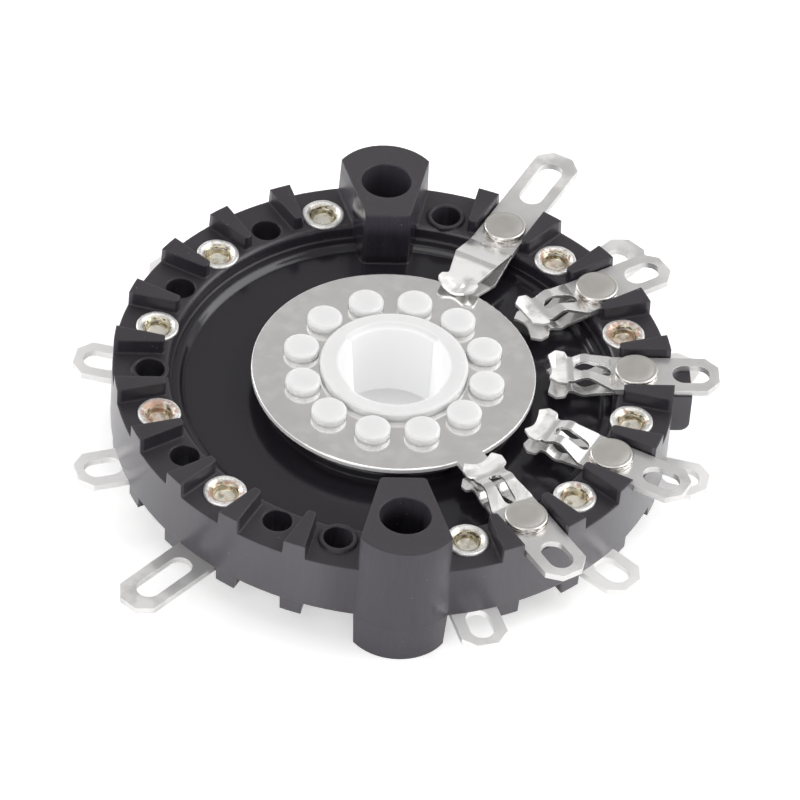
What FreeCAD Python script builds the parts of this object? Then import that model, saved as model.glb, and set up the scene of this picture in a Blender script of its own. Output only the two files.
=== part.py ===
import FreeCAD
import Part
import os
from math import acos, cos, hypot, radians, sin, sqrt, tan

V = FreeCAD.Vector

# A miniature rotary wafer switch. All sizes are millimetres.
# The origin is the centre of the tie-rod pattern on the lower end of the two bosses,
# +Z is the axis of the rotor, and the two tie-rod bosses stand on the Y axis.
# Stations are counted clockwise from above, station 0 at the boss on +Y.

# Layout of the wafer
tie_pitch = 28.5            # between the two tie-rod holes
tie_hole_d = 3.0
station_count = 24
wafer_h = 3.55              # between the upper and lower recess floors
boss_h = 8.45               # each boss, end to end
rim_out_w = 2.2             # ring outside the circle of rivets
rim_in_w = 1.2              # ring inside the circle of rivets

# Contact stations: short clips are the ways, long clips are the commons
upper_ways = [4, 6, 8, 10]
upper_commons = [2]
lower_ways = [5, 7, 9, 11, 17, 19, 21, 23]
lower_commons = [3, 15]
collared_holes = [1, 13, 18]
boss_stations = [0, 12]

# Shaft fit, for a shaft with two flats
shaft_d = 6.35
shaft_flats_w = 4.75
shaft_clear = 0.05          # all round

# Clearances
bearing_clear = 0.1         # rotor barrel in the bore of the wafer, on the radius
rivet_clear = 0.02          # rivet shank in its hole, on the radius
peg_clear = 0.02            # rotor pegs and hub in the blade, on the radius
jaw_clear = 0.04            # each side of a blade between two leaves
recess_clear = 0.07         # each side of a leaf in its recess
join_tol = 1e-6             # outline ends closer than this are one point
trim_w = 0.5                # blanks run this far past the surface that trims them

# Wafer moulding
web_t = 0.95
collar_w = 0.65             # bearing collar round the bore
collar_h = 0.6              # above the web
collar_round = 0.2
ring_round = 0.35
ledge_w = 0.12              # small step at the foot of the ring's inner wall
ledge_h = 0.4
ledge_round = 0.3
tooth_h = 0.95
tooth_back_w = 0.45         # from the ring's inner wall out to the tooth
tooth_round = 0.18          # inner corners of a tooth
recess_flare_w = 0.05       # each recess wall leans out by this over its height
parting_step = 0.08         # the lower mould half is this much smaller
rivet_hole_r = 0.87
hole_collar_r = 1.12
hole_collar_h = 0.15
lug_half_w = 1.5
lug_out_w = 1.05            # beyond the ring
lug_h = 2.7
lug_round = 0.6
lug_station = 6

# Tie-rod bosses
boss_wall_t = 1.7           # round the tie-rod hole
boss_side_angle = 15.0      # the sides are radial like the recess walls
boss_side_off = 1.62        # from the radial line to the side, at the top
boss_in_w = 3.1             # from the tie-rod hole's axis to the inner end
boss_in_round = 0.3
boss_flare_w = 0.16         # outline grows by this from the top to the lower floor
boss_low_flare_w = 0.12

# Rotor, from the shaft outwards
hub_wall_t = 1.125
peg_count = 12
peg_r = 1.03
peg_gap = 0.18              # between the hub and each peg
peg_h = 0.58                # above the blade
barrel_edge_w = 0.31        # barrel beyond the pegs
edge_cham = 0.12
mouth_cham = 0.3
first_peg_station = 1

# Blades, stamped
blade_t = 0.3
blade_over_w = 1.45         # blade beyond the barrel
blade_edge_round = 0.08     # edge pulled round by the punch
tongue_half_w = 0.88
tongue_share = 0.5          # its length beyond the blade, in shares of the clip reach
tongue_round = 0.25
upper_tongue_station = 10
right_first_station = 2.3
right_last_station = 11.7
right_tongue_station = 11
left_first_station = 14.3
left_last_station = 23.7
left_tongue_station = 23

# Leaves of a contact clip, two to a clip
leaf_t = 0.2
leaf_half_w = 1.38
tag_cham = 0.75
bend_r = 0.35
tag_slot_half_w = 0.72
crease_half_w = 0.16        # level bottom of the crease pressed along the tip

# Soldering tags: lengths beyond the ring, slot ends are centres of its round ends
way_tag_l = 2.7
way_slot_in_l = 0.65
way_slot_out_l = 1.45
common_tag_l = 5.6
common_slot_in_l = 1.35
common_slot_out_l = 3.9

# Way clip. The clip reach is the free way from the blade's edge to the ring, and
# shares of it place each part of the clip, counted from the blade. Rises are
# above the grip.
way_tip_share = 0.153
way_tip_half_w = 0.95
way_tip_rise = 0.1
way_grip_share = 0.25       # full width from here
way_pad_share = 0.37        # to here
way_neck_share = 0.426
way_pad_half_w = 1.34
way_neck_half_w = 1.02
way_neck_l = 0.15
way_neck_rise = 0.1
way_tip_round = 0.12
way_pad_round = 0.22
way_neck_round = 0.12
way_wing_slope = 0.28       # wings either side of the crease
way_notch_r = 2.3           # hollow of the tip's edge
way_notch_depth = 0.18

# Arch of the way clip: shares of the way from the neck out to the bend
way_bend_gap = 0.22         # from the ring's inner wall in to the bend
way_crest_share = 0.3
way_crest_bend_r = 0.6
way_taper_in_share = 0.45
way_taper_out_share = 0.95
way_crest_rise = 0.64
way_slit_half_w = 0.37
way_slit_edge_w = 0.05      # slit ends this far from the neck and from the bend

# Common clip: lengths over the blade's edge, and its fold as a share of the reach
common_tip_l = 0.85
common_tip_half_w = 0.7
common_tip_rise = 0.06
common_wing_l = 0.5         # full width from here
common_grip_l = 0.25
common_pad_out_l = 0.1      # to here
common_wing_half_w = 1.22
common_tip_round = 0.15
common_wing_round = 0.25
common_waist_round = 0.15
common_waist_out_l = 0.5
common_waist_half_w = 0.96
common_waist_l = 0.08
common_waist_rise = 0.26
common_wing_slope = 0.46
common_fold_share = 0.457
common_fold_rise = 0.45
common_bend_gap = 0.55      # from the ring's inner wall in to the bend

# Rivets
head_r = 1.28
head_h = 0.42
head_round = 0.14
rim_r = 1.28
rim_h = 0.17
rim_round = 0.12
rim_in_r = 0.86
funnel_r = 0.6
funnel_depth = 0.38
rivet_bore_depth = 0.6

# Radii that follow from the values above
pitch_r = tie_pitch / 2     # rivets lie on the same circle as the tie rods
ring_r = pitch_r + rim_out_w
ring_in_r = pitch_r - rim_in_w
hub_r = shaft_d / 2 + shaft_clear + hub_wall_t
peg_circle_r = hub_r + peg_gap + peg_r
barrel_r = peg_circle_r + peg_r + barrel_edge_w
bore_r = barrel_r + bearing_clear
blade_r = barrel_r + blade_over_w
tooth_in_r = ring_in_r + tooth_back_w
clip_reach = ring_in_r - blade_r
shank_r = rivet_hole_r - rivet_clear

# Heights above the middle plane of the wafer, which is symmetrical about it
floor_z = wafer_h / 2
tooth_top_z = floor_z + tooth_h
boss_top_z = boss_h / 2
web_z = web_t / 2
collar_z = web_z + collar_h
leaf_plane_z = floor_z + leaf_t          # between the two leaves of a clip
stack_z = leaf_plane_z + leaf_t
blade_low_z = leaf_plane_z - blade_t / 2
blade_top_z = leaf_plane_z + blade_t / 2
peg_top_z = blade_top_z + peg_h
lift = boss_top_z                        # raises the middle plane above the origin

# Leaves: widths and heights of the middle of the metal above the leaf plane
recess_half_w = leaf_half_w + recess_clear
seat_rise = leaf_t / 2
grip_rise = blade_t / 2 + jaw_clear + leaf_t / 2


def station_angle(k):
    return 90.0 - k * 360.0 / station_count


def at_station(shape, k):
    """A copy of a shape drawn along +X, turned to station k."""
    turned = shape.copy()
    turned.rotate(V(0, 0, 0), V(0, 0, 1), station_angle(k))
    return turned


def underside(shape):
    """The same shape below the middle plane."""
    return shape.mirror(V(0, 0, 0), V(0, 0, 1))


def flat(z):
    """Places outline corners in a level plane at height z."""
    return lambda u, v: V(u, v, z)


def upright(u, v):
    """Places outline corners in the plane through the rotor axis and +X."""
    return V(u, 0, v)


def loop(corners, place):
    """A closed wire through corners (u, v, radius), each rounded to its radius."""
    spans = []
    count = len(corners)
    for i in range(count):
        u, v, radius = corners[i]
        before = corners[i - 1]
        after = corners[(i + 1) % count]
        if radius == 0:
            spans.append(((u, v), None, (u, v)))
            continue
        back = (before[0] - u, before[1] - v)
        on = (after[0] - u, after[1] - v)
        back_len = hypot(*back)
        on_len = hypot(*on)
        back = (back[0] / back_len, back[1] / back_len)
        on = (on[0] / on_len, on[1] / on_len)
        half = acos(back[0] * on[0] + back[1] * on[1]) / 2
        reach = radius / tan(half)
        middle = (back[0] + on[0], back[1] + on[1])
        middle_len = hypot(*middle)
        depth = radius / sin(half) - radius
        start = (u + back[0] * reach, v + back[1] * reach)
        end = (u + on[0] * reach, v + on[1] * reach)
        crown = (u + middle[0] / middle_len * depth, v + middle[1] / middle_len * depth)
        spans.append((start, crown, end))
    edges = []
    for i in range(count):
        start, crown, end = spans[i]
        if crown is not None:
            edges.append(Part.Arc(place(*start), place(*crown), place(*end)).toShape())
        following = spans[(i + 1) % count][0]
        if hypot(following[0] - end[0], following[1] - end[1]) > join_tol:
            edges.append(Part.makeLine(place(*end), place(*following)))
    return Part.Wire(edges)


def mirrored(half):
    """Full outline from its +Y half, listed outward."""
    return half + [(u, -v, rounding) for u, v, rounding in reversed(half)]


def plate(corners, z0, z1):
    """A prism over a level outline, from z0 to z1."""
    return Part.Face(loop(corners, flat(z0))).extrude(V(0, 0, z1 - z0))


def turned(corners):
    """A solid of revolution from a profile of (radius, height, rounding) corners."""
    return Part.Face(loop(corners, upright)).revolve(V(0, 0, 0), V(0, 0, 1), 360)


def rod(radius, z0, z1, at=V(0, 0, 0)):
    return Part.makeCylinder(radius, z1 - z0, V(at.x, at.y, z0))


def slot(r0, r1, half_w, z0, z1):
    """A round-ended slot along +X between two centres."""
    arc_in = Part.Arc(V(r0, half_w, z0), V(r0 - half_w, 0, z0), V(r0, -half_w, z0))
    arc_out = Part.Arc(V(r1, -half_w, z0), V(r1 + half_w, 0, z0), V(r1, half_w, z0))
    sides = [
        Part.makeLine(V(r0, -half_w, z0), V(r1, -half_w, z0)),
        Part.makeLine(V(r1, half_w, z0), V(r0, half_w, z0)),
    ]
    wire = Part.Wire([arc_in.toShape(), sides[0], arc_out.toShape(), sides[1]])
    return Part.Face(wire).extrude(V(0, 0, z1 - z0))


def tie_points():
    return [V(0, pitch_r, 0), V(0, -pitch_r, 0)]


def wafer_ring():
    """Ring, web and bearing collar, turned from one profile."""
    collar_r = bore_r + collar_w
    half = [
        (bore_r, collar_z, 0),
        (collar_r, collar_z, collar_round),
        (collar_r, web_z, 0),
        (ring_in_r - ledge_w, web_z, ledge_round),
        (ring_in_r - ledge_w, web_z + ledge_h, 0),
        (ring_in_r, web_z + ledge_h, 0),
        (ring_in_r, floor_z, ring_round),
        (ring_r, floor_z, 0),
    ]
    lower = [(r, -z, rounding) for r, z, rounding in reversed(half)]
    return turned(half + lower)


def tooth(outer_r):
    """The wedge left between two recesses, half a station from each of them."""
    half_step = radians(180.0 / station_count)
    blank_r = outer_r + trim_w
    wires = []
    for z, lean in [(floor_z, 0.0), (tooth_top_z, recess_flare_w)]:
        def side(r):
            return (r * sin(half_step) - recess_half_w - lean) / cos(half_step)
        half = [(tooth_in_r, side(tooth_in_r), tooth_round), (blank_r, side(blank_r), 0)]
        wires.append(loop(mirrored(half), flat(z)))
    return Part.makeLoft(wires, True, True).common(rod(outer_r, floor_z, tooth_top_z))


def boss_outline(grow, z):
    """Outline of a boss, drawn along +X, larger all round by grow."""
    lean = radians(boss_side_angle)
    off = (boss_side_off - grow) / cos(lean)
    end_r = tie_hole_d / 2 + boss_wall_t + grow
    in_x = pitch_r - boss_in_w - grow

    def side(x):
        return x * tan(lean) - off

    # where the side meets the end arc round the tie-rod hole
    a = 1 + tan(lean) ** 2
    b = -2 * (pitch_r + off * tan(lean))
    c = pitch_r ** 2 + off ** 2 - end_r ** 2
    meet_x = (-b + sqrt(b * b - 4 * a * c)) / (2 * a)
    meet_y = side(meet_x)
    in_y = side(in_x)

    # a rounded corner turns from the inner end to the side
    reach = boss_in_round * tan((radians(90) - lean) / 2)
    on_side = V(in_x + reach * cos(lean), in_y + reach * sin(lean), z)
    centre = V(in_x + boss_in_round, in_y - reach, z)
    outward = (radians(180) + radians(90) + lean) / 2
    crown = V(
        centre.x + boss_in_round * cos(outward), centre.y + boss_in_round * sin(outward), z)

    def flip(p):
        return V(p.x, -p.y, z)

    on_end = V(in_x, in_y - reach, z)
    meet = V(meet_x, meet_y, z)
    edges = [
        Part.makeLine(flip(on_end), on_end),
        Part.Arc(on_end, crown, on_side).toShape(),
        Part.makeLine(on_side, meet),
        Part.Arc(meet, V(pitch_r + end_r, 0, z), flip(meet)).toShape(),
        Part.makeLine(flip(meet), flip(on_side)),
        Part.Arc(flip(on_side), flip(crown), flip(on_end)).toShape(),
    ]
    return Part.Wire(edges)


def boss():
    """One boss in two drafted halves that meet at the lower floor."""
    upper = Part.makeLoft(
        [boss_outline(boss_flare_w, -floor_z), boss_outline(0, boss_top_z)], True, True)
    low_flare = boss_flare_w - parting_step
    lower = Part.makeLoft(
        [
            boss_outline(low_flare, -floor_z),
            boss_outline(low_flare - boss_low_flare_w, -boss_top_z),
        ], True, True)
    return upper.fuse(lower)


def key_lug():
    """Locating lug on the rim, rounded at its lower outer corner."""
    root = ring_r - lug_round
    lug_r = ring_r + lug_out_w
    side = [
        (root, floor_z, 0),
        (lug_r, floor_z, 0),
        (lug_r, floor_z - lug_h, lug_round),
        (root, floor_z - lug_h, 0),
    ]
    face = Part.Face(loop(side, upright))
    face.translate(V(0, -lug_half_w, 0))
    return at_station(face.extrude(V(0, 2 * lug_half_w, 0)), lug_station)


def hole_stations():
    return [k for k in range(station_count) if k not in boss_stations]


def tooth_places():
    """Half stations between two recesses, with none beside a boss."""
    open_stations = hole_stations()
    return [k + 0.5 for k in open_stations if k + 1 in open_stations]


def build_stator():
    upper_tooth = tooth(ring_r)
    lower_tooth = underside(tooth(ring_r - parting_step))
    adds = [at_station(boss(), k) for k in boss_stations]
    adds.append(key_lug())
    for k in tooth_places():
        adds.append(at_station(upper_tooth, k))
        adds.append(at_station(lower_tooth, k))
    collar = rod(hole_collar_r, floor_z - hole_collar_h, floor_z + hole_collar_h, V(pitch_r, 0, 0))
    for k in collared_holes:
        adds.append(at_station(collar, k))
    body = wafer_ring().fuse(adds)
    rivet_hole = rod(rivet_hole_r, -tooth_top_z, tooth_top_z, V(pitch_r, 0, 0))
    cuts = [at_station(rivet_hole, k) for k in hole_stations()]
    for point in tie_points():
        cuts.append(rod(tie_hole_d / 2, -boss_top_z, boss_top_z, point))
    return body.cut(cuts).removeSplitter()


def shaft_section(grow, z):
    """Round with two flats facing +X and -X."""
    radius = shaft_d / 2 + shaft_clear + grow
    half = shaft_flats_w / 2 + shaft_clear + grow
    reach = sqrt(radius ** 2 - half ** 2)
    edges = [
        Part.makeLine(V(half, -reach, z), V(half, reach, z)),
        Part.Arc(V(half, reach, z), V(0, radius, z), V(-half, reach, z)).toShape(),
        Part.makeLine(V(-half, reach, z), V(-half, -reach, z)),
        Part.Arc(V(-half, -reach, z), V(0, -radius, z), V(half, -reach, z)).toShape(),
    ]
    return Part.Wire(edges)


def peg_stations():
    step = station_count / peg_count
    return [first_peg_station + i * step for i in range(peg_count)]


def build_rotor():
    """Barrel, hub and pegs in one moulding, with the shaft hole through it."""
    half = [
        (0, peg_top_z, 0),
        (hub_r - edge_cham, peg_top_z, 0),
        (hub_r, peg_top_z - edge_cham, 0),
        (hub_r, blade_low_z, 0),
        (barrel_r, blade_low_z, 0),
    ]
    body = turned(half + [(r, -z, rounding) for r, z, rounding in reversed(half)])
    peg = rod(peg_r, blade_low_z - peg_h, peg_top_z - edge_cham, V(peg_circle_r, 0, 0))
    tip = Part.makeCone(
        peg_r, peg_r - edge_cham, edge_cham, V(peg_circle_r, 0, peg_top_z - edge_cham))
    peg = peg.fuse(tip)
    pegs = []
    for k in peg_stations():
        pegs.append(at_station(peg, k))
        pegs.append(at_station(underside(peg), k))
    body = body.fuse(pegs)
    through = Part.Face(shaft_section(0, -boss_top_z)).extrude(V(0, 0, boss_h))
    mouth = Part.makeLoft(
        [shaft_section(0, peg_top_z - mouth_cham), shaft_section(mouth_cham, peg_top_z)],
        True, True)
    return body.cut([through, mouth, underside(mouth)]).removeSplitter()


def blade_holes():
    holes = [rod(hub_r + peg_clear, blade_low_z, blade_top_z)]
    for k in peg_stations():
        peg_hole = rod(peg_r + peg_clear, blade_low_z, blade_top_z, V(peg_circle_r, 0, 0))
        holes.append(at_station(peg_hole, k))
    return holes


def tongue(station):
    w = tongue_half_w
    tongue_r = blade_r + tongue_share * clip_reach
    corners = [
        (blade_r - w, -w, 0),
        (tongue_r, -w, tongue_round),
        (tongue_r, w, tongue_round),
        (blade_r - w, w, 0),
    ]
    return at_station(plate(corners, blade_low_z, blade_top_z), station)


def blade_blank(sweep):
    """A turned blank, or part of one, with the rounded edge left by the punch."""
    side = [
        (0, blade_low_z, 0),
        (blade_r, blade_low_z, 0),
        (blade_r, blade_top_z, blade_edge_round),
        (0, blade_top_z, 0),
    ]
    return Part.Face(loop(side, upright)).revolve(V(0, 0, 0), V(0, 0, 1), sweep)


def build_disc():
    """The upper blade: a whole ring with one tongue."""
    ring = blade_blank(360).fuse(tongue(upper_tongue_station))
    return ring.cut(blade_holes()).removeSplitter()


def build_segment(first, last, tongue_at):
    """A lower blade: part of a ring between two stations, with its tongue."""
    part = at_station(blade_blank((last - first) * 360.0 / station_count), last)
    part = part.fuse(tongue(tongue_at)).cut(blade_holes()).removeSplitter()
    return underside(part)


def strip(path, thickness):
    """A bent strip's side outline: a path of (r, z, bend radius) made thick both ways."""
    count = len(path)
    left = []
    right = []
    for i in range(count):
        u, v, radius = path[i]
        before = path[max(i - 1, 0)]
        after = path[min(i + 1, count - 1)]
        into = (u - before[0], v - before[1]) if i > 0 else (after[0] - u, after[1] - v)
        out = (after[0] - u, after[1] - v) if i < count - 1 else into
        into_len = hypot(*into)
        out_len = hypot(*out)
        n0 = (-into[1] / into_len, into[0] / into_len)
        n1 = (-out[1] / out_len, out[0] / out_len)
        share = 1 + n0[0] * n1[0] + n0[1] * n1[1]
        miter = ((n0[0] + n1[0]) / share, (n0[1] + n1[1]) / share)
        half = thickness / 2
        bend = n0[0] * n1[1] - n0[1] * n1[0]
        wide = radius + half if radius > 0 else 0
        tight = radius - half if radius > 0 else 0
        left_round, right_round = (tight, wide) if bend > 0 else (wide, tight)
        left.append((u + miter[0] * half, v + miter[1] * half, left_round))
        right.append((u - miter[0] * half, v - miter[1] * half, right_round))
    return loop(left + right[::-1], upright)


def tag_corners(tag_r):
    w = leaf_half_w
    return [(tag_r - tag_cham, w, 0), (tag_r, w - tag_cham, 0)]


def leaf(path, half_outline, tag_slot):
    """A leaf without its tip: its side strip trimmed to its plan outline."""
    tag_r = path[0][0]
    side = Part.Face(strip(path, leaf_t))
    side.translate(V(0, -boss_h / 2, 0))
    side = side.extrude(V(0, boss_h, 0))
    plan = plate(mirrored(half_outline + tag_corners(tag_r)), -boss_h / 2, boss_h / 2)
    slot_in, slot_out = tag_slot
    cuts = [
        slot(slot_in, slot_out, tag_slot_half_w, -boss_h / 2, boss_h / 2),
        rod(rivet_hole_r, -boss_h / 2, boss_h / 2, V(pitch_r, 0, 0)),
    ]
    return side.common(plan).cut(cuts)


def tip_section(r, rise, slope):
    """Cross-section of a creased tip: a level bottom with a wing rising on each side."""
    inner = crease_half_w
    outer = leaf_half_w
    wing_rise = rise + slope * (outer - inner)
    upper = [(-outer, wing_rise), (-inner, rise), (inner, rise), (outer, wing_rise)]
    half_t = leaf_t / 2
    points = [V(r, y, z + half_t) for y, z in upper]
    points += [V(r, y, z - half_t) for y, z in reversed(upper)]
    return Part.makePolygon(points + points[:1])


def creased_tip(sections, half_outline):
    """Pressed tip of a leaf, creased through its sections and trimmed to its outline."""
    wires = [tip_section(*section) for section in sections]
    blank = Part.makeLoft(wires, True, True)
    return blank.common(plate(mirrored(half_outline), -boss_h / 2, boss_h / 2))


def way_leaf():
    """Short clip leaf: two arched arms, a neck and a creased, notched tip."""
    neck_r = blade_r + way_neck_share * clip_reach
    arch_r = neck_r + way_neck_l
    bend_start_r = ring_in_r - way_bend_gap
    span = bend_start_r - arch_r
    neck_rise = grip_rise + way_neck_rise
    path = [
        (ring_r + way_tag_l, seat_rise, 0),
        (bend_start_r, seat_rise, bend_r),
        (arch_r + span * way_crest_share, seat_rise + way_crest_rise, way_crest_bend_r),
        (arch_r, neck_rise, bend_r),
        (neck_r, neck_rise, 0),
    ]
    outline = [
        (neck_r, way_neck_half_w, 0),
        (arch_r + span * way_taper_in_share, way_neck_half_w, 0),
        (arch_r + span * way_taper_out_share, leaf_half_w, 0),
    ]
    strip_part = leaf(path, outline, (ring_r + way_slot_in_l, ring_r + way_slot_out_l))
    end_w = way_slit_half_w + way_slit_edge_w
    slit = slot(arch_r + end_w, bend_start_r - end_w, way_slit_half_w, -boss_h / 2, boss_h / 2)

    def along(share):
        return blade_r + share * clip_reach

    tip_r = along(way_tip_share)
    pad_rise = grip_rise + way_neck_rise / 2
    sections = [
        (neck_r, neck_rise, 0.0),
        (along(way_pad_share), pad_rise, way_wing_slope / 2),
        (along(way_grip_share), grip_rise, way_wing_slope),
        (tip_r, grip_rise + way_tip_rise, way_wing_slope),
    ]
    tip = creased_tip(sections, [
        (tip_r, way_tip_half_w, way_tip_round),
        (along(way_grip_share), way_pad_half_w, way_pad_round),
        (along(way_pad_share), way_pad_half_w, way_pad_round),
        (neck_r - way_neck_round, way_neck_half_w, way_neck_round),
        (neck_r, way_neck_half_w, 0),
    ])
    notch = rod(
        way_notch_r, -boss_h / 2, boss_h / 2, V(tip_r + way_notch_depth - way_notch_r, 0, 0))
    return strip_part.cut(slit).fuse(tip.cut(notch)).removeSplitter()


def common_leaf():
    """Long clip leaf: a tall fold, a waist and a creased tip that rides on the blade."""
    waist_r = blade_r + common_waist_out_l
    fold_r = blade_r + common_fold_share * clip_reach
    waist_rise = grip_rise + common_waist_rise
    path = [
        (ring_r + common_tag_l, seat_rise, 0),
        (ring_in_r - common_bend_gap, seat_rise, bend_r),
        (fold_r, grip_rise + common_fold_rise, bend_r),
        (waist_r + common_waist_l, waist_rise, bend_r),
        (waist_r, waist_rise, 0),
    ]
    outline = [
        (waist_r, common_waist_half_w, 0),
        (fold_r, leaf_half_w, 0),
    ]
    strip_part = leaf(path, outline, (ring_r + common_slot_in_l, ring_r + common_slot_out_l))
    tip_r = blade_r - common_tip_l
    pad_r = blade_r + common_pad_out_l
    sections = [
        (waist_r, waist_rise, 0.0),
        (pad_r, grip_rise + common_waist_rise / 2, common_wing_slope / 2),
        (blade_r - common_grip_l, grip_rise, common_wing_slope),
        (tip_r, grip_rise + common_tip_rise, common_wing_slope),
    ]
    tip = creased_tip(sections, [
        (tip_r, common_tip_half_w, common_tip_round),
        (blade_r - common_wing_l, common_wing_half_w, common_wing_round),
        (pad_r, common_wing_half_w, common_wing_round),
        (waist_r - common_waist_round, common_waist_half_w, common_waist_round),
        (waist_r, common_waist_half_w, 0),
    ])
    return strip_part.fuse(tip).removeSplitter()


def rivet():
    """Head above the leaves, shank through the wafer, rolled hollow end below."""
    head_z = stack_z + head_h
    rim_z = -floor_z - rim_h
    profile = [
        (0, head_z, 0),
        (head_r, head_z, head_round),
        (head_r, stack_z, 0),
        (shank_r, stack_z, 0),
        (shank_r, -floor_z, 0),
        (rim_r, -floor_z, 0),
        (rim_r, rim_z, rim_round),
        (rim_in_r, rim_z, rim_round),
        (funnel_r, rim_z + funnel_depth, 0),
        (funnel_r, rim_z + rivet_bore_depth, 0),
        (0, rim_z + rivet_bore_depth, 0),
    ]
    body = turned(profile)
    body.translate(V(pitch_r, 0, 0))
    return body


def save(name, shape):
    raised = shape.copy()
    raised.translate(V(0, 0, lift))
    raised.exportStep("parts/" + name + ".step")
    print(name, len(raised.Solids), "solid", raised.isValid(), round(raised.Volume, 3))


def save_clip(name, upper_leaf, station, below):
    """Both leaves of a clip. The inner leaf lies on the wafer, the outer under the head."""
    upper = at_station(upper_leaf, station)
    lower = underside(upper)
    plane = -leaf_plane_z if below else leaf_plane_z
    upper.translate(V(0, 0, plane))
    lower.translate(V(0, 0, plane))
    outer, inner = (lower, upper) if below else (upper, lower)
    save("%s_%02d_outer_leaf" % (name, station), outer)
    save("%s_%02d_inner_leaf" % (name, station), inner)


def main():
    os.makedirs("parts", exist_ok=True)
    save("stator", build_stator())
    save("rotor", build_rotor())
    save("upper_blade", build_disc())
    right = build_segment(right_first_station, right_last_station, right_tongue_station)
    left = build_segment(left_first_station, left_last_station, left_tongue_station)
    save("lower_right_blade", right)
    save("lower_left_blade", left)
    way = way_leaf()
    common = common_leaf()
    for k in upper_commons:
        save_clip("common_clip", common, k, False)
    for k in upper_ways:
        save_clip("way_clip", way, k, False)
    for k in lower_commons:
        save_clip("common_clip", common, k, True)
    for k in lower_ways:
        save_clip("way_clip", way, k, True)
    one = rivet()
    save("upper_rivets", Part.Compound([at_station(one, k) for k in upper_commons + upper_ways]))
    low_one = underside(one)
    save("lower_rivets", Part.Compound([at_station(low_one, k) for k in lower_commons + lower_ways]))


main()
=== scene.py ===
# %% [markdown]
# # A rotary wafer switch, dressed for its portrait
# The switch comes in as finished solids: a black moulded wafer, a white rotor,
# stamped blades, spring clips in pairs of leaves, and rivets. This lesson keeps
# those solids where they are and gives them finishes, a studio and a camera.
# Lengths are in metres, so a millimetre is written as a small number times MM.

# %% Start: load the solids
import math

import bmesh
import bpy
from mathutils import Matrix, Vector


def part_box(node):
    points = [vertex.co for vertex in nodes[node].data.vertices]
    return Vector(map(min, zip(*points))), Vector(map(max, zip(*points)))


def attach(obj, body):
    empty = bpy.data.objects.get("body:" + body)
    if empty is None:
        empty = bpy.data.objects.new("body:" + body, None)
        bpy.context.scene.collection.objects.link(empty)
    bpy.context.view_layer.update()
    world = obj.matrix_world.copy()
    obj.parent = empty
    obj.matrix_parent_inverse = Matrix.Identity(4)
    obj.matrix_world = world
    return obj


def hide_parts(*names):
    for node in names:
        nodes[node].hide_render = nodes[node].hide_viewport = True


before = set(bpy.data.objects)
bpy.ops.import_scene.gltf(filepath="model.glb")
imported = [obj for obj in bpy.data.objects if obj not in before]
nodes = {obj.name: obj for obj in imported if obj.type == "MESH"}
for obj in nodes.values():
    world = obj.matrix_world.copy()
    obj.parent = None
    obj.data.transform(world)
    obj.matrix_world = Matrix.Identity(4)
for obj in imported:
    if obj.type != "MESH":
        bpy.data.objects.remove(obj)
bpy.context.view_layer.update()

MM = 0.001

# %% [markdown]
# Finishes are written as sums. A small class wraps one output of a shader node,
# and its plus, minus and times add the Math nodes. That keeps a pattern readable:
# the line that says what it does is the line that builds it.

# %% A wrapper for shader maths
class Wire:
    """One output socket that can be added, multiplied and compared."""

    def __init__(self, finish, socket):
        self.finish = finish
        self.socket = socket

    def maths(self, operation, *others):
        values = {0: self}
        for place, other in enumerate(others):
            values[place + 1] = other
        return self.finish.node("ShaderNodeMath", {"operation": operation}, values)

    def __add__(self, other):
        return self.maths("ADD", other)

    __radd__ = __add__

    def __sub__(self, other):
        return self.maths("SUBTRACT", other)

    def __rsub__(self, other):
        settings = {"operation": "SUBTRACT"}
        return self.finish.node("ShaderNodeMath", settings, {0: other, 1: self})

    def __mul__(self, other):
        return self.maths("MULTIPLY", other)

    __rmul__ = __mul__

    def above(self, edge, soft):
        """0 below the edge and 1 above it, over a soft band."""
        settings = {"interpolation_type": "SMOOTHSTEP"}
        values = {"Value": self, "From Min": edge - soft, "From Max": edge + soft}
        return self.finish.node("ShaderNodeMapRange", settings, values)

    def below(self, edge, soft):
        return 1 - self.above(edge, soft)


# %% [markdown]
# A second class holds the node tree of a material, or of the sky, while it grows.
# One method adds any node. The others are short names for the few patterns that
# come back in every finish, such as noise, a blend of two colours and small relief.

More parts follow.
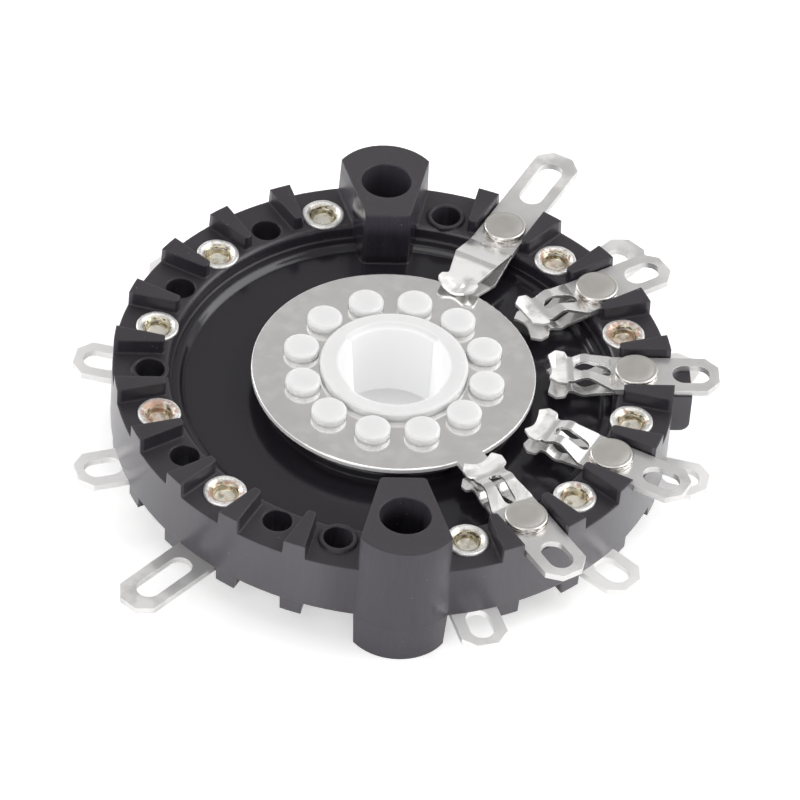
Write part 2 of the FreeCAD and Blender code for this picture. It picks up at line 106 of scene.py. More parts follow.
# %% A node tree under construction
class Finish:
    """The tree of a new material, or of the owner that is given."""

    def __init__(self, name, owner=None):
        self.material = owner or bpy.data.materials.new(name)
        self.material.use_nodes = True
        self.tree = self.material.node_tree
        self.tree.nodes.clear()

    def node(self, kind, settings=None, values=None, output=0):
        """Adds a node: its settings first, then the value or link of each socket."""
        made = self.tree.nodes.new(kind)
        for key, value in (settings or {}).items():
            if key == "stops":
                for element, (place, colour) in zip(made.color_ramp.elements, value):
                    element.position = place
                    element.color = (*colour, 1)
            else:
                setattr(made, key, value)
        for key, value in (values or {}).items():
            socket = made.inputs[key]
            if isinstance(value, Wire):
                self.tree.links.new(value.socket, socket)
            elif value is not None:
                socket.default_value = value
        return Wire(self, made.outputs[output]) if made.outputs else None

    def place(self):
        """Where a point lies on the object, in the object's own metres."""
        return self.node("ShaderNodeTexCoord", output="Object")

    def split(self, vector):
        made = self.node("ShaderNodeSeparateXYZ", values={0: vector}).socket.node
        return [Wire(self, out) for out in made.outputs]

    def from_axis(self, vector):
        """How far a point lies from the axis of the switch."""
        x, y = self.split(vector)[:2]
        return (x * x + y * y).maths("SQRT")

    def facing_up(self):
        """1 where a face lies level, up or down, and 0 where it stands upright."""
        normal = self.node("ShaderNodeTexCoord", output="Normal")
        return self.split(normal)[2].maths("ABSOLUTE")

    def ray(self, kind):
        """1 for light of this kind, such as what the camera sees directly."""
        return self.node("ShaderNodeLightPath", output=kind)

    def noise(self, vector, size, detail=3.0, roughness=0.5):
        """Cloudy noise whose features are about this many metres across."""
        values = {"Vector": vector, "Scale": 1 / size, "Detail": detail, "Roughness": roughness}
        return self.node("ShaderNodeTexNoise", values=values)

    def streaks(self, vector, stretch, size, detail, roughness):
        """Noise drawn out along the directions whose stretch is small."""
        values = {"Vector": vector, "Scale": stretch}
        drawn = self.node("ShaderNodeMapping", values=values)
        return self.noise(drawn, size, detail, roughness)

    def painted(self, name):
        """A number stored on the mesh itself, which travels with the piece."""
        return self.node("ShaderNodeAttribute", {"attribute_name": name}, output="Fac")

    def worn_edge(self, radius):
        """Normals that turn softly round each edge, as a moulded or tumbled edge does."""
        return self.node("ShaderNodeBevel", {"samples": 4}, {"Radius": radius})

    def blend(self, factor, first, second):
        """A colour between two colours."""
        settings = {"data_type": "RGBA"}
        return self.node("ShaderNodeMix", settings, {0: factor, 6: first, 7: second}, 2)

    def bump(self, height, depth, strength=1.0, over=None):
        """Small relief, laid over other normals where they are given."""
        values = {"Height": height, "Distance": depth, "Strength": strength, "Normal": over}
        return self.node("ShaderNodeBump", values=values)

    def surface(self, **sockets):
        """Ends the tree in one principled surface."""
        values = {name.replace("_", " "): value for name, value in sockets.items()}
        shader = self.node("ShaderNodeBsdfPrincipled", values=values)
        self.node("ShaderNodeOutputMaterial", values={0: shader})
        return self.material


# %% [markdown]
# The camera stands well back with a long lens, as for a catalogue picture, so the
# round wafer shows as a clean ellipse. It looks down at about 43 degrees from the
# side of the boss on -Y, and it is rolled a few degrees.

# %% The camera
camera_turn = math.radians(-5.552)
camera_rise = math.radians(43.441)
camera_roll = math.radians(4.787)
camera_reach = 407.66 * MM
camera_shift = -0.00125
look_at = Vector((0.363, -2.155, 6.0)) * MM
lens_for_36_mm = 314.57

away = Vector((
    math.sin(camera_turn) * math.cos(camera_rise),
    -math.cos(camera_turn) * math.cos(camera_rise),
    math.sin(camera_rise),
))
camera_data = bpy.data.cameras.new("portrait camera")
camera_data.lens = lens_for_36_mm
camera_data.sensor_width = 36.0
camera_data.shift_x = camera_shift
camera_data.clip_start = 0.01
camera_data.clip_end = 20
camera = bpy.data.objects.new("portrait camera", camera_data)
bpy.context.scene.collection.objects.link(camera)
level = (-away).to_track_quat("-Z", "Y").to_matrix().to_4x4()
camera.matrix_world = (
    Matrix.Translation(look_at + away * camera_reach)
    @ level
    @ Matrix.Rotation(camera_roll, 4, "Z")
)
bpy.context.scene.camera = camera
print("camera at", [round(v / MM, 1) for v in camera.location])

# %% [markdown]
# The switch stands on white paper. The paper takes the shadow, and a faint glow of
# its own lifts it to white for the camera without adding light to the switch. In
# mirrored light the glow is weaker, so that metal still shows grey beside white.

# %% Floor
glow_for_camera = 0.44
glow_in_mirrors = 0.32
paper_white = (0.8, 0.8, 0.8, 1)
floor_half = 3.0
floor_drop = 0.02 * MM


def floor_finish():
    f = Finish("pale studio floor")
    camera_part = f.ray("Is Camera Ray") * glow_for_camera
    mirror_part = (f.ray("Is Glossy Ray") + f.ray("Is Transmission Ray")) * glow_in_mirrors
    seen = camera_part.maths("MAXIMUM", mirror_part)
    paper = f.node("ShaderNodeBsdfDiffuse", values={"Color": paper_white})
    glow = f.node("ShaderNodeEmission", values={"Color": (1, 1, 1, 1), "Strength": seen})
    both = f.node("ShaderNodeAddShader", values={0: paper, 1: glow})
    f.node("ShaderNodeOutputMaterial", values={0: both})
    return f.material


def square_plate(name, half, z):
    mesh = bpy.data.meshes.new(name)
    corners = [(-half, -half, z), (half, -half, z), (half, half, z), (-half, half, z)]
    mesh.from_pydata(corners, [], [(0, 1, 2, 3)])
    made = bpy.data.objects.new(name, mesh)
    bpy.context.scene.collection.objects.link(made)
    return made


floor = square_plate("studio_floor", floor_half, -floor_drop)
floor.data.materials.append(floor_finish())
print("floor", floor.name)

# %% [markdown]
# The sky is bright near the horizon and grey overhead. The grey is what polished
# metal mirrors when it lies flat, and the bright horizon is what it mirrors when it
# is bent. The camera itself sees plain white.

# %% Sky
horizon_white = (1.0, 1.0, 1.0)
overhead_grey = (0.50, 0.495, 0.495)
white_up_to = 0.12
grey_from = 0.52

world = bpy.data.worlds.new("studio sky")
bpy.context.scene.world = world


def sky_finish():
    f = Finish("studio sky", world)
    height = f.split(f.node("ShaderNodeTexCoord", output="Generated"))[2]
    stops = [(white_up_to, horizon_white), (grey_from, overhead_grey)]
    tone = f.node("ShaderNodeValToRGB", {"stops": stops}, {0: height})
    seen = f.blend(f.ray("Is Camera Ray"), tone, (1, 1, 1, 1))
    shine = f.node("ShaderNodeBackground", values={"Color": seen})
    f.node("ShaderNodeOutputWorld", values={0: shine})
    return f.tree


sky = sky_finish()
bpy.context.scene.view_settings.view_transform = "Standard"
print("sky of", len(sky.nodes), "nodes")

# %% [markdown]
# Five soft lamps light the switch. The large one in front gives most of the light.
# The smaller ones stand where the camera sees them mirrored, and draw the bright
# lines on the rounded edges of the black moulding and on the bent springs.

# %% Lamps
def softbox(name, place, size, watts):
    light = bpy.data.lights.new(name, "AREA")
    light.shape = "SQUARE"
    light.size = size
    light.energy = watts
    made = bpy.data.objects.new(name, light)
    made.location = place
    made.rotation_mode = "QUATERNION"
    made.rotation_quaternion = (-Vector(place)).to_track_quat("-Z", "Y")
    bpy.context.scene.collection.objects.link(made)
    return made


softbox("front left softbox", (-0.35, -0.45, 0.40), 0.60, 1.7)
softbox("overhead softbox", (0.02, -0.02, 0.45), 0.16, 0.16)
softbox("back left softbox", (-0.13, 0.12, 0.11), 0.06, 0.09)
softbox("right softbox", (0.33, 0.01, 0.29), 0.32, 1.02)
softbox("high back right softbox", (0.29, 0.22, 0.37), 0.20, 0.13)

# %% [markdown]
# The wafer is one black moulding. Its level faces came off a polished mould and
# mirror the dark overhead, while the drawn sides are duller and carry scuff streaks.
# Outside the ring the sides are painted a paler grey, scuffs and painted light
# together, and inside the ring and low on the inner walls of the bosses a darker
# grey, painted shade. The rim's outer wall has a faint skin of gloss, so it turns
# paler to the left, where it mirrors the table at a low angle.
# The thin web inside the ring is the glossiest part. Pale flecks of dust and broken
# filler dot the rest. Height and radius tell these places apart, so one material
# does all.

# %% Where the parts of the wafer lie
boss_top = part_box("stator")[1].z
middle_z = boss_top / 2
pitch = 14.25 * MM
web_edge = 12.95 * MM
web_reach = 1.0 * MM
wall_edge = 13.6 * MM
inner_edge = 13.4 * MM
inner_reach = 3.0 * MM
rim_edge = 16.2 * MM
boss_rise = 3.2 * MM
boss_radius = 3.9 * MM
rim_gloss_from = 4.6 * MM
print("wafer", round(boss_top / MM, 2), "mm tall at the bosses")

# %% Black wafer
# The paler side tones are partly painted light; the darker inside tones are painted shade.
scuffed_and_lit_tones = (0.040, 0.036, 0.046, 1), (0.062, 0.057, 0.071, 1)
shaded_inside_tones = (0.014, 0.012, 0.016, 1), (0.030, 0.026, 0.034, 1)
top_tones = (0.018, 0.015, 0.019, 1), (0.038, 0.034, 0.041, 1)
boss_tones = (0.026, 0.023, 0.028, 1), (0.042, 0.038, 0.044, 1)
fleck_tone = (0.30, 0.29, 0.29, 1)
web_tone = (0.014, 0.012, 0.016, 1)


def wafer_finish():
    f = Finish("black wafer moulding")
    p = f.place()
    x, y, z = f.split(p)
    radius = f.from_axis(p)
    off_boss = y.maths("ABSOLUTE") - pitch
    from_boss = (x * x + off_boss * off_boss).maths("SQRT")
    rise = (z - middle_z).maths("ABSOLUTE")
    level = f.facing_up().above(0.85, 0.08)
    web = radius.below(web_edge, 0.08 * MM) * rise.below(web_reach, 0.2 * MM)
    inner_rim = radius.below(wall_edge, 0.1 * MM) * (1 - level)
    deep_in = radius.below(inner_edge, 0.1 * MM) * rise.below(inner_reach, 0.6 * MM)
    boss = rise.above(boss_rise, 0.3 * MM)
    past_rim = radius.above(rim_edge, 0.05 * MM)
    outside = past_rim.maths("MAXIMUM", from_boss.below(boss_radius, 0.1 * MM))
    rim_wall = past_rim * from_boss.above(rim_gloss_from, 0.9 * MM) * (1 - level)

    cloud = f.noise(p, 4 * MM, 3.0, 0.5)
    speck = f.noise(p, 0.22 * MM, 3.0, 0.7)
    drag = f.streaks(p, (1, 1, 0.12), 0.3 * MM, 4.0, 0.6)
    fleck = f.noise(p, 0.13 * MM, 1.0, 0.5).above(0.80, 0.03)
    # Sides outside the ring: scuff streaks with painted light. Sides inside it: painted shade.
    scuffed_and_lit = f.blend(drag, *scuffed_and_lit_tones)
    inside = f.blend(drag, *shaded_inside_tones)
    side = f.blend(outside * (1 - deep_in), inside, scuffed_and_lit)
    colour = f.blend(level, side, f.blend(cloud, *top_tones))
    colour = f.blend(boss * level, colour, f.blend(speck, *boss_tones))
    colour = f.blend(fleck * 0.7, colour, fleck_tone)
    colour = f.blend(web, colour, web_tone)

    rough = 0.36 + boss * level * 0.12 - web * 0.20 - inner_rim * 0.20 + cloud * 0.06
    rough = rough - outside * (1 - level) * (1 - boss) * 0.08
    relief = (speck * 0.5 + drag * (1 - level)) * (1 - web) * (1 - inner_rim * 0.7)
    return f.surface(
        Base_Color=colour,
        Roughness=rough,
        Coat_Weight=rim_wall * 0.6,
        Coat_Roughness=0.3,
        Normal=f.bump(relief, 0.012 * MM, 0.6, f.worn_edge(0.20 * MM)),
    )


def dress(node, material):
    for slot in nodes[node].material_slots:
        slot.material = material


black_moulding = wafer_finish()
dress("stator", black_moulding)
print("wafer dressed in", black_moulding.name)

# %% [markdown]
# The web doesn't meet the ring square. It rises in a soft step first, because a mould
# with round corners fills better and the moulding doesn't crack there. The slope of
# the step mirrors the right-hand lamp, and that draws the pale band round the back of
# the web. The step is a ring turned from one outline, once above the web and once
# below it. Its outer side and its foot are buried in the moulding. The rivets further
# down are turned too, so the last lines of the work are a helper for both.

# %% A helper for turned pieces
sharp_from = math.radians(50)


def turned_mesh(name, points, faces):
    """A mesh with its faces turned outwards, smooth but for its sharp edges."""
    mesh = bpy.data.meshes.new(name)
    mesh.from_pydata(points, [], faces)
    shell = bmesh.new()
    shell.from_mesh(mesh)
    bmesh.ops.recalc_face_normals(shell, faces=shell.faces)
    shell.to_mesh(mesh)
    shell.free()
    mesh.shade_smooth()
    mesh.set_sharp_from_angle(angle=sharp_from)
    return mesh


# %% The rounded step at the edge of the web
web_top = 4.70 * MM
step_height = 0.30 * MM
step_start = 12.17 * MM
step_end = 12.61 * MM
step_buried = 13.00 * MM
step_foot = 0.10 * MM


def step_outline(slices=10):
    """Points up the slope, out into the wall and back below the web's surface."""
    base = web_top - middle_z
    points = []
    for i in range(slices + 1):
        t = i / slices
        lift = t * t * (3 - 2 * t)
        points.append((step_start + (step_end - step_start) * t, base + step_height * lift))
    points += [(step_buried, base + step_height), (step_buried, base - step_foot),
               (step_start, base - step_foot)]
    return points


def turned_step(turns=144):
    outline = step_outline()
    count = len(outline)
    points, faces = [], []
    for side in (1, -1):
        first = len(points)
        for i in range(turns):
            angle = 2 * math.pi * i / turns
            for across, height in outline:
                points.append((across * math.cos(angle), across * math.sin(angle),
                               middle_z + side * height))
            here = first + i * count
            there = first + (i + 1) % turns * count
            for j in range(count):
                k = (j + 1) % count
                faces.append((here + j, here + k, there + k, there + j))
    return turned_mesh("web_step", points, faces)


web_step = bpy.data.objects.new("web_step", turned_step())
web_step.data.materials.append(black_moulding)
bpy.context.scene.collection.objects.link(web_step)
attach(web_step, "wafer")
print("step of", len(web_step.data.polygons), "faces at the edge of the web")

# %% [markdown]
# The rotor is a milky white moulding, and light goes some way into it: the shaft
# hole is nearly as bright inside as the hub is on top. A white colour alone gives a
# grey hole, so the light scatters under the surface. The hub's wall is thin and lets
# much of it through, which evens out the hole. There the colour is darker, painted
# shade that keeps the lamp from drawing a hard patch, and a painted glow stands for
# the light that came through.

# %% Milky rotor
milk_tones = (0.665, 0.67, 0.67, 1), (0.705, 0.705, 0.70, 1)
shaded_hole_tone = (0.42, 0.42, 0.42, 1)
painted_hole_glow = (0.48, 0.48, 0.485, 1)
no_glow = (0, 0, 0, 1)
shaft_hole_edge = 3.35 * MM
milk_depth = 0.9 * MM


def rotor_finish():
    f = Finish("milky rotor moulding")
    p = f.place()
    cloud = f.noise(p, 2 * MM, 3.0, 0.5)
    hole = f.from_axis(p).below(shaft_hole_edge, 0.12 * MM)
    # In the shaft hole the colour is darker: painted shade.
    colour = f.blend(hole, f.blend(cloud, *milk_tones), shaded_hole_tone)
    return f.surface(
        Base_Color=colour,
        Roughness=0.38 + cloud * 0.12,
        Subsurface_Weight=1.0,
        Subsurface_Radius=(1.0, 1.0, 1.0),
        Subsurface_Scale=milk_depth,
        # A painted glow in the shaft hole, for the light that came through the wall.
        Emission_Color=f.blend(hole, no_glow, painted_hole_glow),
        Emission_Strength=1.0,
        Normal=f.bump(f.noise(p, 0.3 * MM), 0.008 * MM, 0.4, f.worn_edge(0.05 * MM)),
    )


dress("rotor", rotor_finish())
print("rotor dressed")

# %% [markdown]
# The blades are stamped and silver plated. The contacts wipe them round and round, so
# they carry fine circular scratches, and the stamped edge is rougher and brighter
# than the face. The scratches are noise that depends on the radius alone. A film of
# dust and grease lies on the face in patches, a little paler than the bare silver.

# %% Silver blades
silver_tones = (0.85, 0.84, 0.825, 1), (0.97, 0.96, 0.945, 1)
cut_edge_tone = (0.96, 0.955, 0.95, 1)
scratches_per_metre = 9000.0


def blade_finish():
    f = Finish("silver plated blade")
    p = f.place()
    edge = f.facing_up().below(0.9, 0.08)
    scratched = {"W": f.from_axis(p), "Scale": scratches_per_metre, "Detail": 3.0}
    rings = f.node("ShaderNodeTexNoise", {"noise_dimensions": "1D"}, scratched)
    cloud = f.noise(p, 2.5 * MM, 4.0)
    fine = f.noise(p, 0.3 * MM, 4.0, 0.7)
    film = f.noise(p, 1.1 * MM, 6.0, 0.7).above(0.56, 0.12)
    return f.surface(
        Base_Color=f.blend(edge, f.blend(cloud, *silver_tones), cut_edge_tone),
        Metallic=1 - edge * 0.6 - film * 0.1,
        Roughness=0.07 + cloud * 0.06 + fine * 0.05 + edge * 0.3,
        Normal=f.bump(rings * 0.8 + fine * 0.6, 0.002 * MM, 0.5),
    )


blade = blade_finish()
blades = [name for name in nodes if "blade" in name]
for name in blades:
    dress(name, blade)
print(len(blades), "blades dressed")

# %% [markdown]
# The spring leaves are plated too, with a satin sheen, and handling has left faint
# smears. The bending tool left shallow dents where the leaves work. The tips that
# the blade rubs and patches of the solder tags are whiter. The short clips below lie
# in the shade of the upper leaves and the wafer, and get a paler, less metallic copy
# of the finish: painted light. The two finishes differ only in tone and in how
# metallic they are, because less metal in the mixture looks whiter and chalkier.

# %% Spring leaves
stain_tone = (0.66, 0.62, 0.55, 1)
rubbed_tone = (0.95, 0.94, 0.92, 1)
tip_edge = 10.15 * MM
spring_edge = 13.0 * MM
tag_edge = 18.5 * MM
# The clips below whose leaves get the painted-light finish.
light_painted_clips = [5, 7, 9, 11, 17, 19, 21, 23]


def leaf_finish(name, low, high, metal):
    """Plated sheet that varies between two tones."""
    f = Finish(name)
    p = f.place()
    smear = f.noise(p, 1.2 * MM, 3.0, 0.5)
    fine = f.noise(p, 0.25 * MM, 2.0, 0.5)
    stain = f.noise(p, 0.7 * MM, 5.0, 0.7).above(0.66, 0.05)
    patches = f.noise(p, 1.8 * MM, 4.0, 0.6).above(0.5, 0.12)
    radius = f.from_axis(p)
    tip = radius.below(tip_edge, 0.15 * MM) * smear.above(0.40, 0.20)
    sprung = radius.below(spring_edge, 0.6 * MM)
    rubbed = patches * radius.above(tag_edge, 1.5 * MM)
    dents = f.noise(p, 0.9 * MM, 1.5, 0.4) * (0.5 + sprung * 2)
    low_tone = (low, low * 0.99, low * 0.975, 1)
    high_tone = (high, high * 0.995, high * 0.99, 1)
    colour = f.blend(smear, low_tone, high_tone)
    colour = f.blend(stain * 0.4, colour, stain_tone)
    colour = f.blend(rubbed * 0.7 + tip * 0.8, colour, rubbed_tone)
    return f.surface(
        Base_Color=colour,
        Metallic=metal - rubbed * 0.2 + sprung * 0.08 - tip * 0.4,
        Roughness=0.24 + smear * 0.14 + stain * 0.1 - sprung * 0.1,
        Normal=f.bump(fine * 0.1 + dents, 0.012 * MM, 0.7, f.worn_edge(0.05 * MM)),
    )


satin = leaf_finish("satin spring leaf", 0.64, 0.76, 0.74)
# Painted light: a paler, less metallic copy of the finish for the shaded clips below.
light_painted = leaf_finish("chalky spring leaf", 0.95, 0.99, 0.45)
leaves = [name for name in nodes if "leaf" in name]
for name in leaves:
    station = int(name.split("_")[2])
    dress(name, light_painted if station in light_painted_clips else satin)
print(len(leaves), "leaves dressed")

# %% [markdown]
# Fifteen semi-tubular rivets hold the clips. Each has a turned head on one face of
# the wafer, and on the other its hollow end is rolled outwards over the edge of the
# hole. The solid rivets of the frame are plain, so these take their place. One rivet
# is spun from its outline. Each ring of points also stores three numbers that the
# finish reads later: how far it lies from the rivet's axis, how deep in the hollow,
# and how much the rolling tool may have crushed it.

# %% Sizes of a rivet
rivets_low, rivets_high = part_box("upper_rivets")
head_top = rivets_high.z - middle_z
head_under = head_top - 0.42 * MM
head_corner = 0.14 * MM
shank_radius = 0.85 * MM
roll_end = middle_z - rivets_low.z
hole_edge = roll_end - 0.17 * MM
roll_round = 0.12 * MM
lip_round = 0.14 * MM
funnel_round = 0.38 * MM
hollow_radius = 1.1 * MM
hollow_mm = 0.58
print("rivet", round((head_top + roll_end) / MM, 2), "mm long")

# %% The outline of a rivet
def points_at(height, *offsets):
    """Points in millimetres from the rivet's axis and up from a height."""
    return [(across * MM, height + up * MM) for across, up in offsets]


def bend(across, height, radius, first, last, steps=5):
    """Points on an arc in the outline, angles in degrees from outward, up positive."""
    points = []
    for i in range(steps + 1):
        angle = math.radians(first + (last - first) * i / steps)
        points.append((across + radius * math.cos(angle), height + radius * math.sin(angle)))
    return points


def rivet_outline():
    """From the head's face over its edge, down the shank and into the hollow."""
    face = points_at(head_top, (0.5, 0), (1.03, 0), (1.06, -0.012), (1.09, 0))
    corner = bend(1.14 * MM, head_top - head_corner, head_corner, 90, 0)
    groove = points_at(head_top, (1.275, -0.2), (1.25, -0.23), (1.265, -0.26))
    barrel = points_at(head_under, (1.265, 0.05), (1.24, 0))
    shank = [(shank_radius, head_under), (shank_radius, -hole_edge)]
    roll = bend(1.15 * MM, -hole_edge - 0.05 * MM, roll_round, 25, -90, 8)
    lip = bend(1.08 * MM, -roll_end + lip_round, lip_round, 262, 225, 3)
    funnel = bend(1.02 * MM, -roll_end + 0.44 * MM, funnel_round, 250, 188, 7)
    tube = points_at(-roll_end, (0.62, 0.5), (0.58, 0.56), (0.3, hollow_mm))
    return face + corner + groove + barrel + shank + roll + lip + funnel + tube


print("rivet outline of", len(rivet_outline()), "points")

# %% One rivet, spun from its outline
def spin_rivet(turns=44):
    outline = rivet_outline()
    points = [(0, 0, head_top)]
    marks = [(0.0, 0.0, 0.0)]
    for across, height in outline:
        in_hollow = height < 0 and across < hollow_radius
        deep = max(0.0, height + roll_end) if in_hollow else 0.0
        crush = 1.0 if height < 0 and across > 0.7 * MM else 0.0
        for i in range(turns):
            angle = 2 * math.pi * i / turns
            points.append((across * math.cos(angle), across * math.sin(angle), height))
            marks.append((across / MM, deep / MM, crush))
    points.append((0, 0, -roll_end + hollow_mm * MM))
    marks.append((0.0, hollow_mm, 0.0))
    faces = [(0, 1 + i, 1 + (i + 1) % turns) for i in range(turns)]
    for ring in range(len(outline) - 1):
        here = 1 + ring * turns
        below = here + turns
        for i in range(turns):
            j = (i + 1) % turns
            faces.append((here + i, below + i, below + j, here + j))
    last = 1 + (len(outline) - 1) * turns
    faces += [(last + i, len(points) - 1, last + (i + 1) % turns) for i in range(turns)]
    mesh = turned_mesh("one rivet", points, faces)
    for column, name in enumerate(["across", "deep", "crush"]):
        stored = mesh.attributes.new(name, "FLOAT", "POINT")
        stored.data.foreach_set("value", [mark[column] for mark in marks])
    return mesh


rivet_pattern = bpy.data.objects.new("one rivet", spin_rivet())
print("one rivet has", len(rivet_pattern.data.polygons), "faces")

# %% [markdown]
# The rivets repeat, so Geometry Nodes set them. The tree puts one rivet on every
# station point, turns each by a random angle so that no two look alike, tips the
# whole set over for the underside, and crushes the rolled edge a little with noise.
# It also gives each rivet one random number, its wear, for the finish.

# %% The tree that sets rivets
tree_inputs = [("Rivet", "Object"), ("Finish", "Material"), ("Tip Over", "Float"),
               ("Crush Depth", "Float"), ("Crush Size", "Float"), ("Seed", "Int")]
wear_seed_step = 17.0
usual_noise = 0.55


def rivet_tree():
    tree = bpy.data.node_groups.new("rivets on their stations", "GeometryNodeTree")
    face = tree.interface
    face.new_socket("Stations", in_out="INPUT", socket_type="NodeSocketGeometry")
    for label, kind in tree_inputs:
        face.new_socket(label, in_out="INPUT", socket_type="NodeSocket" + kind)
    face.new_socket("Rivets", in_out="OUTPUT", socket_type="NodeSocketGeometry")

    def add(kind, values=None, **settings):
        """Adds a node with its settings and its values or links."""
        made = tree.nodes.new(kind)
        for key, value in settings.items():
            setattr(made, key, value)
        for key, value in (values or {}).items():
            if isinstance(value, bpy.types.NodeSocket):
                tree.links.new(value, made.inputs[key])
            else:
                made.inputs[key].default_value = value
        return made.outputs

    def maths(operation, first, second):
        return add("ShaderNodeMath", {0: first, 1: second}, operation=operation)[0]

    given = add("NodeGroupInput")
    pattern = add("GeometryNodeObjectInfo", {"Object": given["Rivet"]})["Geometry"]
    spin = add("FunctionNodeRandomValue", {2: 0.0, 3: 2 * math.pi, "Seed": given["Seed"]})[1]
    turn = add("ShaderNodeCombineXYZ", {"X": given["Tip Over"], "Z": spin})[0]
    rotation = add("FunctionNodeEulerToRotation", {0: turn})[0]
    placed = add("GeometryNodeInstanceOnPoints", {
        "Points": given["Stations"], "Instance": pattern, "Rotation": rotation})[0]
    wear_seed = maths("ADD", given["Seed"], wear_seed_step)
    wear = add("FunctionNodeRandomValue", {2: 0.0, 3: 1.0, "Seed": wear_seed})[1]
    marked = add("GeometryNodeStoreNamedAttribute", {
        "Geometry": placed, "Name": "wear", "Value": wear},
        data_type="FLOAT", domain="INSTANCE")[0]
    real = add("GeometryNodeRealizeInstances", {0: marked})[0]

    per_size = maths("DIVIDE", 1.0, given["Crush Size"])
    bumps = add("ShaderNodeTexNoise", {"Scale": per_size, "Detail": 2.0})[0]
    crush = add("GeometryNodeInputNamedAttribute", {"Name": "crush"}, data_type="FLOAT")[0]
    masked = maths("MULTIPLY", maths("SUBTRACT", bumps, usual_noise), crush)
    depth = maths("MULTIPLY", masked, given["Crush Depth"])
    outward = add("GeometryNodeInputNormal")[0]
    push = add("ShaderNodeVectorMath", {0: outward, "Scale": depth}, operation="SCALE")[0]
    crushed = add("GeometryNodeSetPosition", {0: real, "Offset": push})[0]
    finished = add("GeometryNodeSetMaterial", {0: crushed, "Material": given["Finish"]})[0]
    add("NodeGroupOutput", {0: finished})
    return tree


set_rivets = rivet_tree()
print("the rivet tree has", len(set_rivets.nodes), "nodes")

# %% [markdown]
# Tinned rivets are a warm grey on the head and brighter where the tool rolled them.
# The sides of the heads are painted near white with brown scratch streaks: a painted
# highlight over real scratches. Down in the hollow the plating is thin and torn, so it
# turns olive, and a pale spot on its floor is a painted highlight. Each rivet's own
# wear number decides how much of the brown copper below shows through.

# %% Tinned rivets
tin_tones = (0.62, 0.60, 0.565, 1), (0.70, 0.68, 0.645, 1)
rolled_tones = (0.66, 0.65, 0.625, 1), (0.99, 0.985, 0.97, 1)
lit_scratched_barrel_tones = (0.92, 0.91, 0.89, 1), (0.34, 0.27, 0.21, 1)
olive_tones = (0.42, 0.37, 0.23, 1), (0.80, 0.75, 0.60, 1)
torn_tone = (0.10, 0.075, 0.04, 1)
copper_tone = (0.38, 0.20, 0.13, 1)
hollow_glint_tone = (0.88, 0.86, 0.78, 1)


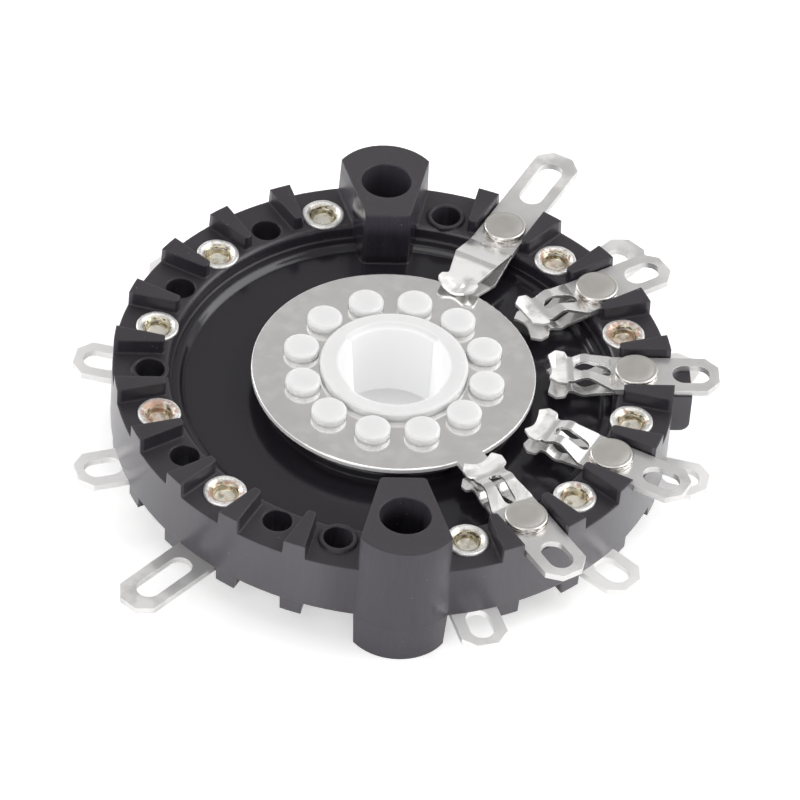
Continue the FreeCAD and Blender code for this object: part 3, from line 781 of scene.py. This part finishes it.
def rivet_finish():
    """The painted lengths are in millimetres."""
    f = Finish("tinned rivet")
    p = f.place()
    x, y = f.split(p)[:2]
    across, deep = f.painted("across"), f.painted("deep")
    wear, rolled = f.painted("wear"), f.painted("crush")
    cloud = f.noise(p, 0.6 * MM, 3.0)
    fine = f.noise(p, 0.1 * MM, 4.0, 0.7)
    streak = f.streaks(p, (0.3, 0.3, 1), 0.12 * MM, 3.0, 0.6)
    round_about = f.node("ShaderNodeCombineXYZ", values={
        "X": x * 0.35, "Y": y * 0.35, "Z": across * 0.0014 + wear * 0.01})
    tears = f.noise(round_about, 0.13 * MM, 3.0, 0.6)

    barrel = across.above(1.2, 0.04) * (1 - rolled) * f.facing_up().below(0.6, 0.2)
    open_end = rolled.maths("MAXIMUM", deep.above(0.3, 0.1))
    hollow = across.below(0.88, 0.12) * open_end
    on_wall = across.above(0.62, 0.05)
    patch = (f.noise(p, 0.45 * MM, 3.0) + wear * 0.35).above(0.80, 0.07)
    patch = patch * across.below(1.1, 0.1) * open_end
    # A pale spot on the floor of the hollow: a painted highlight.
    hollow_glint = deep.above(0.53, 0.03) * across.below(0.60, 0.05) * cloud.above(0.40, 0.12)

    bright = f.blend(fine.above(0.5, 0.2), *rolled_tones)
    colour = f.blend(rolled, f.blend(cloud, *tin_tones), bright)
    # A painted highlight on the sides of the heads, streaked with brown scratches.
    lit_scratched_side = f.blend(streak.above(0.52, 0.06), *lit_scratched_barrel_tones)
    colour = f.blend(barrel, colour, lit_scratched_side)
    olive = f.blend(cloud, *olive_tones)
    torn = f.blend(tears.above(0.52, 0.05) * on_wall, olive, torn_tone)
    colour = f.blend(hollow, colour, torn)
    colour = f.blend(patch * 0.8, colour, copper_tone)
    # The painted highlight on the hollow's floor.
    colour = f.blend(hollow_glint * (1 - patch * 0.6), colour, hollow_glint_tone)
    relief = fine + rolled * cloud * 3 - hollow * on_wall * tears * 3
    return f.surface(
        Base_Color=colour,
        Metallic=1 - hollow_glint * 0.5 - patch * 0.5 - rolled * 0.25,
        Roughness=0.30 + cloud * 0.1 + fine * rolled * 0.15 - hollow * 0.1,
        Normal=f.bump(relief, 0.008 * MM, 0.7),
    )


tinned = rivet_finish()
print("rivet finish", tinned.name)

# %% [markdown]
# The clips sit on a circle of 24 stations, counted clockwise from the boss on +Y.
# A mesh of bare points, one to a station, is all that the tree needs. The result is
# turned into a plain mesh, one for each face of the wafer, and takes the place of
# the plain solid rivets there.

# %% Rivets set on the upper and lower clips
station_turn = 15
crush_depth = 0.09 * MM
crush_size = 0.6 * MM


def rivet_set(name, stations, tipped, seed):
    """One piece holding all rivets of one face, as a plain mesh."""
    seats = bpy.data.meshes.new(name)
    places = []
    for station in stations:
        angle = math.radians(90 - station_turn * station)
        places.append((pitch * math.cos(angle), pitch * math.sin(angle), middle_z))
    seats.from_pydata(places, [], [])
    made = bpy.data.objects.new(name, seats)
    bpy.context.scene.collection.objects.link(made)
    modifier = made.modifiers.new("set", "NODES")
    modifier.node_group = set_rivets
    chosen = {"Rivet": rivet_pattern, "Finish": tinned, "Tip Over": math.pi if tipped else 0.0,
              "Crush Depth": crush_depth, "Crush Size": crush_size, "Seed": seed}
    for item in set_rivets.interface.items_tree:
        if item.item_type == "SOCKET" and item.in_out == "INPUT" and item.name in chosen:
            modifier[item.identifier] = chosen[item.name]
    bpy.context.view_layer.update()
    ready = made.evaluated_get(bpy.context.evaluated_depsgraph_get())
    mesh = bpy.data.meshes.new_from_object(ready)
    made.modifiers.remove(modifier)
    made.data = mesh
    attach(made, "wafer")
    print(name, "has", len(mesh.vertices), "points")
    return made


upper_set = rivet_set("upper_rivet_set", [2, 4, 6, 8, 10], False, 3)
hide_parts("upper_rivets")
lower_set = rivet_set("lower_rivet_set", [3, 5, 7, 9, 11, 15, 17, 19, 21, 23], True, 8)
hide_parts("lower_rivets")
